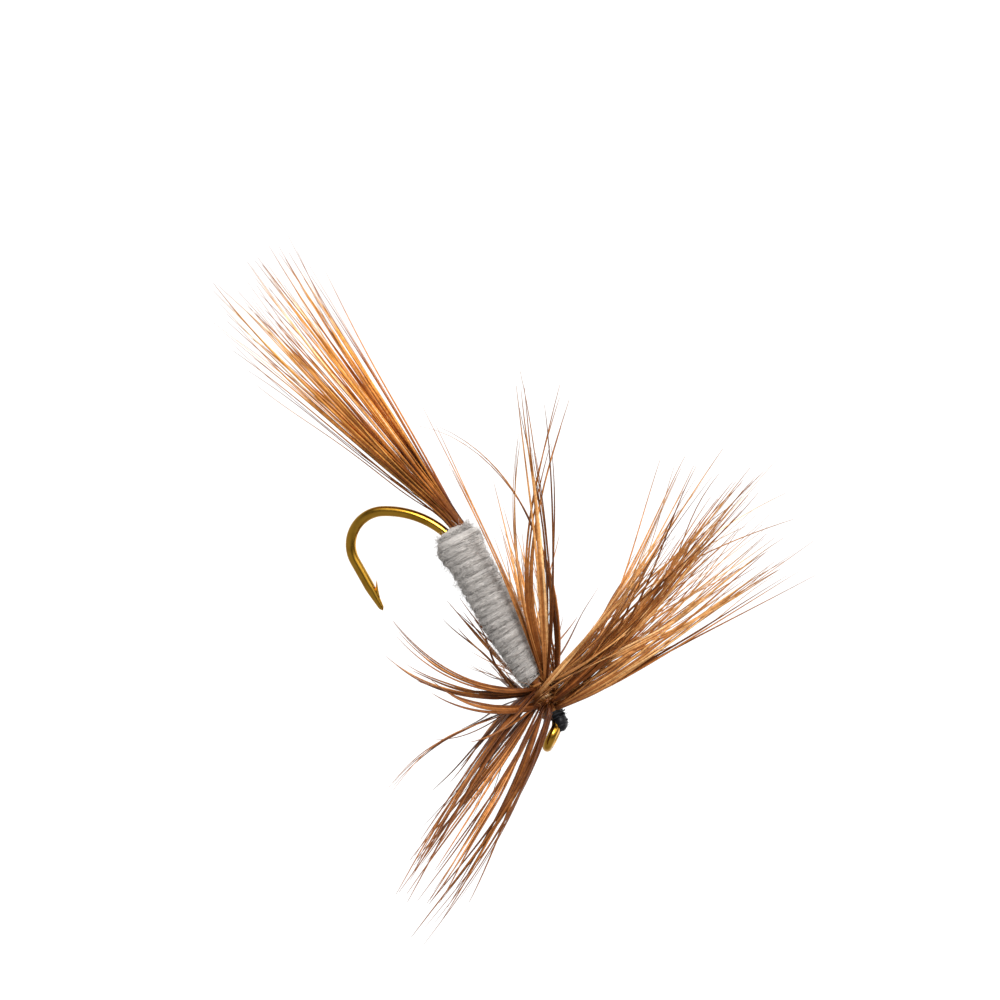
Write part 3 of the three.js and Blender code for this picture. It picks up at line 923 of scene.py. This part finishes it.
def ribbon(strands, rng, root, out, headings, length, barbs, part, tone_and_painted_shade, free):
    """One ribbon of barbs. They lie side by side near the root and then part towards their tips.
    The less a ribbon's barbs part, the broader and straighter they are."""
    s = np.linspace(0, 1, 25) ** 1.2
    guide = grown(root, out, headings, length, s, free)
    tangent = unit(np.gradient(guide, axis=0))
    normal = carried_normals(tangent)
    other = np.cross(tangent, normal)
    roll = rng.uniform(0, math.pi) + rng.normal(0, 0.9) * s
    face = normal * np.cos(roll)[:, None] + other * np.sin(roll)[:, None]
    across = np.cross(tangent, face)
    gather = (0.3 + 0.7 * ease(s / 0.25))[:, None]
    opening = ease((s - 0.25) / 0.9)[:, None] ** 1.1
    spacing = rng.uniform(0.1, 0.13)
    loose = min(part, 1.2)
    broad = 1.45 - 0.42 * loose
    for k in range(barbs):
        place = (k - (barbs - 1) / 2) * spacing + rng.normal(0, 0.015)
        stray = part * (2.2 if rng.random() < 0.12 else 1.0)
        own = across[-1] * (place * 3.4 + rng.normal(0, 0.5)) + face[-1] * rng.normal(0, 0.6)
        reach = rng.uniform(0.72, 1.0)
        line = np.stack([np.interp(s * reach, s, guide[:, i]) for i in range(3)], -1)
        wave = np.sin(s * rng.uniform(5, 11) + rng.uniform(0, 6))
        wave = wave * rng.normal(0, 0.05 + 0.05 * loose)
        line = line + across * place * gather + own * opening * stray
        line = clear_of_body(line + other * (wave * ease(s / 0.3))[:, None])
        width = broad * rng.uniform(0.06, 0.09) * (1 - s ** 1.7) ** 0.8 + 0.012
        tint = np.clip(tone_and_painted_shade + rng.normal(0, 0.19), 0, 1)
        strands.add(line, width, width * 0.4, 6, face, tint=tint)
        for _ in range(HAIRS_ON_BARB):
            at = rng.integers(1, 11)
            heading = unit(tangent[at] + across[at] * rng.choice([-1, 1]) * rng.uniform(0.4, 1.2)
                           + face[at] * rng.normal(0, 0.3))
            loose_hair(strands, rng, line[at], heading, rng.uniform(0.2, 0.8), 0.009, 4, tint,
                       np.linspace(0.3, 0.6, 5))


def make_stem(which):
    """The feather's stem, wound round the shank between the body and the head."""
    steps = 80
    angle = np.linspace(0, STEM_TURNS * FULL_TURN, steps) + STEM_FIRST_ANGLE[which]
    x = STEM_BACK[which] + np.linspace(0, STEM_LENGTH, steps)
    taper = np.linspace(1.0, 0.75, steps)
    stem = Strands()
    stem.add(ring_line(x, angle, STEM_HELIX, SHANK_Z), STEM_RADIUS * 1.25 * taper,
             STEM_RADIUS * taper, 10, away(angle))
    stem.build(f"{which}_hackle_stem", MATERIALS["quill"])


def add_ribbon(barbs, rng, which, row):
    """One ribbon of a row, with its own root and headings. A row's only ribbon strays least."""
    feather, ribbons, per_ribbon, roots, leaving, middle, tips, reach, vary, part = row
    alone = ribbons == 1
    stray = 0.8 if alone else 2.5
    turn = rng.normal(0, 1) * vary[0]
    lean = rng.uniform(-1, 1) * vary[1]
    headings = [side_heading(t + turn * much + rng.normal(0, stray), l + lean * much)
                for (t, l), much in ((leaving, 0.8), (middle, 1.0), (tips, 1.15))]
    angle = math.radians(rng.uniform(*roots))
    forward = np.clip(0.5 + 0.5 * headings[0][0] + rng.normal(0, 0.2), 0, 1)
    x = STEM_BACK[which] + forward * STEM_LENGTH
    if feather == "edge":
        x = COLLAR_FRONT - rng.uniform(0.1, 0.7)
    root = np.array([x, 0, SHANK_Z]) + away(angle) * (STEM_HELIX + 0.02)
    leave = unit(away(angle) * 0.7 + onward(angle) * rng.normal(0, 0.3))
    upwards = headings[1][2]
    # Painted shade: a ribbon whose middle heads downwards gets darker barbs and one heading up paler
    # ones, for how the light falls; the random spread is the feather's own tone.
    tone_and_painted_shade = np.clip(rng.normal(0.14 + 0.36 * upwards ** 3, 0.16), 0.03, 0.9)
    free = 0.7 if alone else rng.uniform(0.8, 1.5)
    ribbon(barbs, rng, root, leave, headings, reach * rng.uniform(0.92, 1.06), per_ribbon, part,
           tone_and_painted_shade, free)


def add_ribbons(barbs, rng, which):
    rows = {"rear": ("both", "rear"), "front": ("both", "front", "edge")}[which]
    for row in RIBBONS:
        feather, ribbons = row[:2]
        if feather not in rows:
            continue
        first, step = 0, 1
        if feather == "both":
            first, step = ("rear", "front").index(which), 2
        for _ in range(first, ribbons, step):
            add_ribbon(barbs, rng, which, row)


def add_collar_wrap(barbs, rng, which):
    """A barb bound down flat round the collar by the later turns."""
    span = np.linspace(0, 1, 18)
    angle = rng.uniform(0, FULL_TURN) + span * rng.choice([-1, 1]) * rng.uniform(0.9, 3.0)
    x = STEM_BACK[which] + rng.uniform(*COLLAR_REACH[which])
    x = np.minimum(x + span * rng.normal(0, 0.3), COLLAR_FRONT - 0.12 * rng.random())
    radius = rng.uniform(0.6, 0.8) - 0.2 * (2 * span - 1) ** 4
    width = rng.uniform(0.07, 0.12) * (1 - span ** 3) + 0.012
    barbs.add(ring_line(x, angle, radius, SHANK_Z), width, width * 0.45, 6, away(angle),
              tint=rng.uniform(0.15, 0.85), along=0.08 + 0.3 * span)


def add_down(barbs, rng, which):
    """A hair of the down at the foot of the barbs."""
    out = away(rng.uniform(0, FULL_TURN))
    x = STEM_BACK[which] + rng.uniform(0, STEM_TURNS) * STEM_PITCH
    root = np.array([x, 0, SHANK_Z]) + out * 0.6
    heading = unit(out + np.array([rng.normal(0.0, 0.5), 0, 0]) + rng.normal(0, 0.35, 3))
    loose_hair(barbs, rng, root, heading, rng.uniform(0.3, 1.3), 0.018, 6, rng.uniform(0.1, 0.6),
               np.linspace(0.1, 0.6, 7))


def make_hackle(which, seed):
    rng = np.random.default_rng(seed)
    make_stem(which)
    barbs = Strands()
    add_ribbons(barbs, rng, which)
    for _ in range(COLLAR_WRAPS):
        add_collar_wrap(barbs, rng, which)
    for _ in range(DOWN_HAIRS):
        add_down(barbs, rng, which)
    barbs.build(f"{which}_hackle_barbs", MATERIALS["hackle"],
                [f"hackle_feather_{which}"])


def heading_back(yaw, pitch):
    """A heading towards the tail, turned by yaw to the far side and by pitch down. In degrees."""
    yaw, pitch = math.radians(yaw), math.radians(pitch)
    return np.array([
        -math.cos(yaw) * math.cos(pitch),
        math.sin(yaw) * math.cos(pitch),
        -math.sin(pitch),
    ])


def add_tail_barb(strands, rng, groups, edge, index, tint, wide):
    """One tail barb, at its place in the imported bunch, whose outer radius is edge. Neighbours in
    the bunch share most of their bend, so that they cling."""
    s = np.linspace(0, 1, 25) ** 1.2
    radius = TAIL_PACK * math.sqrt(index + 0.5) * 0.95
    angle = index * GOLDEN_ANGLE
    across, up = radius * math.cos(angle), radius * math.sin(angle)
    turned = (math.degrees(math.atan2(up, across)) + 180) / 360
    yaw_off, pitch_off, yaw_bend, pitch_bend = groups[int(turned * (TAIL_GROUPS - 0.01))]
    yaw = (across / edge) * 11 + yaw_off + rng.normal(0, 1.2)
    low = 0.5 - 0.5 * up / edge
    pitch = 3 + 21 * np.clip(low + rng.normal(0, 0.12), 0, 1.2) ** 1.3 + pitch_off
    pitch = pitch + rng.normal(0, 1.0)
    root = TAIL_EXIT + (0, across, up)
    start = TAIL_BUTT + (0, across, up)
    headings = (
        heading_back(yaw * 0.9, pitch * 1.15),
        heading_back(yaw, pitch),
        heading_back(yaw + yaw_bend + rng.normal(0, 3), pitch + pitch_bend + rng.normal(0, 3)),
    )
    length = rng.uniform(15.5, 21.5)
    line = grown(root, unit(root - start), headings, length, s, 1.6)
    wave = np.sin(s * rng.uniform(4, 9) + rng.uniform(0, 6)) * rng.normal(0, 0.05)
    line = line + (wave * ease(s / 0.3))[:, None] * np.array([0, 0.5, 1])
    line = np.vstack([start, line])
    width = np.concatenate([[0.05], wide * (1 - s ** 1.5) ** 0.8 + 0.011])
    strands.add(line, width, width * 0.5, 6, unit(rng.normal(0, 1, 3)), tint=tint,
                along=np.concatenate([[0], s]))


def make_tail():
    rng = np.random.default_rng(TAIL_SEED)
    names = sorted(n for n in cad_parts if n.startswith("tail_fibre_"))
    edge = TAIL_PACK * math.sqrt(len(names))
    groups = [(rng.normal(0, 3), rng.normal(0, 1.4), rng.normal(0, 6), rng.normal(0, 2.5))
              for _ in range(TAIL_GROUPS)]
    for index, node in enumerate(names):
        one = Strands()
        tint = np.clip(rng.normal(0.44, 0.3), 0, 1)
        add_tail_barb(one, rng, groups, edge, index, tint, rng.uniform(0.08, 0.12))
        one.build(f"tail_barb_{index + 1:02d}", MATERIALS["tail"], [node])
    fine = Strands()
    for index in range(TAIL_FINE):
        place = index % len(names) + rng.uniform(0, 1)
        tint = np.clip(rng.normal(0.36, 0.25), 0, 1)
        add_tail_barb(fine, rng, groups, edge, place, tint, rng.uniform(0.05, 0.09))
    fine.build("tail_fine_barbs", MATERIALS["tail"])


# ---------------------------------------------------------------------------------------------
# Stage, light and camera
# ---------------------------------------------------------------------------------------------

def make_stage():
    """A pale floor below the fly."""
    n = Nodes("studio_floor")
    n.colour(n.ramp(n.noise(3, 2.0), [(0.3, (0.73, 0.73, 0.73)), (0.7, (0.75, 0.75, 0.75))]))
    n.set(Roughness=0.9, Specular_IOR_Level=0.1)
    half = FLOOR_WIDTH / 2 * MM
    height = (lowest_barb - FLOOR_DEPTH) * MM
    corners = [(-half, -half, height), (half, -half, height), (half, half, height),
               (-half, half, height)]
    mesh = bpy.data.meshes.new("studio_floor")
    mesh.from_pydata(corners, [], [(0, 1, 2, 3)])
    mesh.materials.append(n.material)
    floor = bpy.data.objects.new("studio_floor", mesh)
    bpy.context.scene.collection.objects.link(floor)
    floor.visible_glossy = False
    floor.visible_diffuse = False


def grey_ramp(tree, source, stops):
    """Grey that follows a value, by stops that are each a place and a brightness."""
    ramp = tree.nodes.new("ShaderNodeValToRGB")
    fill_ramp(ramp, [(place, (grey, grey, grey)) for place, grey in stops])
    tree.links.new(source, ramp.inputs[0])
    return ramp.outputs[0]


def make_world():
    """White to the camera. Rough things are lit by a sky that is brighter above, and polished
    things reflect a dark room with one broad soft light."""
    world = bpy.data.worlds.new("studio")
    bpy.context.scene.world = world
    world.use_nodes = True
    tree = world.node_tree
    where = tree.nodes.new("ShaderNodeTexCoord").outputs["Generated"]
    split = tree.nodes.new("ShaderNodeSeparateXYZ")
    tree.links.new(where, split.inputs[0])
    sky = grey_ramp(tree, split.outputs["Z"], SKY)
    towards_light = tree.nodes.new("ShaderNodeVectorMath")
    towards_light.operation = "DOT_PRODUCT"
    tree.links.new(where, towards_light.inputs[0])
    towards_light.inputs[1].default_value = Vector(SOFT_LIGHT).normalized()
    room = grey_ramp(tree, towards_light.outputs["Value"], ROOM)
    # The pale backdrop behind the fly shows along the edges of its bright wire.
    behind = tree.nodes.new("ShaderNodeMapRange")
    behind.inputs["From Min"].default_value = 0.1
    behind.inputs["To Max"].default_value = 0.7
    tree.links.new(split.outputs["Y"], behind.inputs["Value"])
    shine = mixed(tree, 1.0, room, behind.outputs[0], "ADD")
    ray = tree.nodes.new("ShaderNodeLightPath")
    light = mixed(tree, ray.outputs["Is Glossy Ray"], sky, shine, "MIX")
    light = mixed(tree, ray.outputs["Is Camera Ray"], light, WHITE, "MIX")
    background = tree.nodes["Background"]
    tree.links.new(light, background.inputs["Color"])
    background.inputs["Strength"].default_value = 1.0


def add_sun(name, towards, strength, degrees_wide):
    lamp = bpy.data.lights.new(name, "SUN")
    lamp.energy = strength
    lamp.angle = math.radians(degrees_wide)
    sun = bpy.data.objects.new(name, lamp)
    sun.rotation_mode = "QUATERNION"
    sun.rotation_quaternion = Vector(towards).to_track_quat("-Z", "Y")
    bpy.context.scene.collection.objects.link(sun)


def make_light():
    bpy.context.scene.view_settings.view_transform = "Standard"
    make_world()
    add_sun("key", towards=(0.42, 0.7, -0.56), strength=2.85, degrees_wide=24)
    add_sun("fill", towards=(-0.4, -0.6, -0.6), strength=0.6, degrees_wide=50)


def make_camera():
    """The main view: the fly's near side, from a little above, rolled so that the shank points
    down and to the right."""
    flat = np.array([1.0, 0, 0])
    up = np.array([0, math.sin(CAMERA_RISE), math.cos(CAMERA_RISE)])
    right_axis = math.cos(SHANK_SLOPE) * flat + math.sin(SHANK_SLOPE) * up
    up_axis = -math.sin(SHANK_SLOPE) * flat + math.cos(SHANK_SLOPE) * up
    back_axis = np.cross(right_axis, up_axis)
    centre = -EYE_RIGHT_OF_CENTRE * right_axis + EYE_BELOW_CENTRE * up_axis
    place = (centre + back_axis * CAMERA_DISTANCE) * MM
    lens = bpy.data.cameras.new("camera")
    lens.sensor_width = SENSOR_WIDTH
    lens.lens = SENSOR_WIDTH * CAMERA_DISTANCE / VIEW_WIDTH
    lens.clip_start = 0.01
    lens.clip_end = 20
    camera = bpy.data.objects.new("camera", lens)
    rotation = Matrix((right_axis, up_axis, back_axis)).transposed()
    camera.matrix_world = Matrix.Translation(place) @ rotation.to_4x4()
    bpy.context.scene.collection.objects.link(camera)
    bpy.context.scene.camera = camera


make_camera()
make_hook()
make_filling()
make_body()
make_threads()
make_head()
make_tail()
make_hackle("rear", REAR_SEED)
make_hackle("front", FRONT_SEED)
make_stage()
make_light()
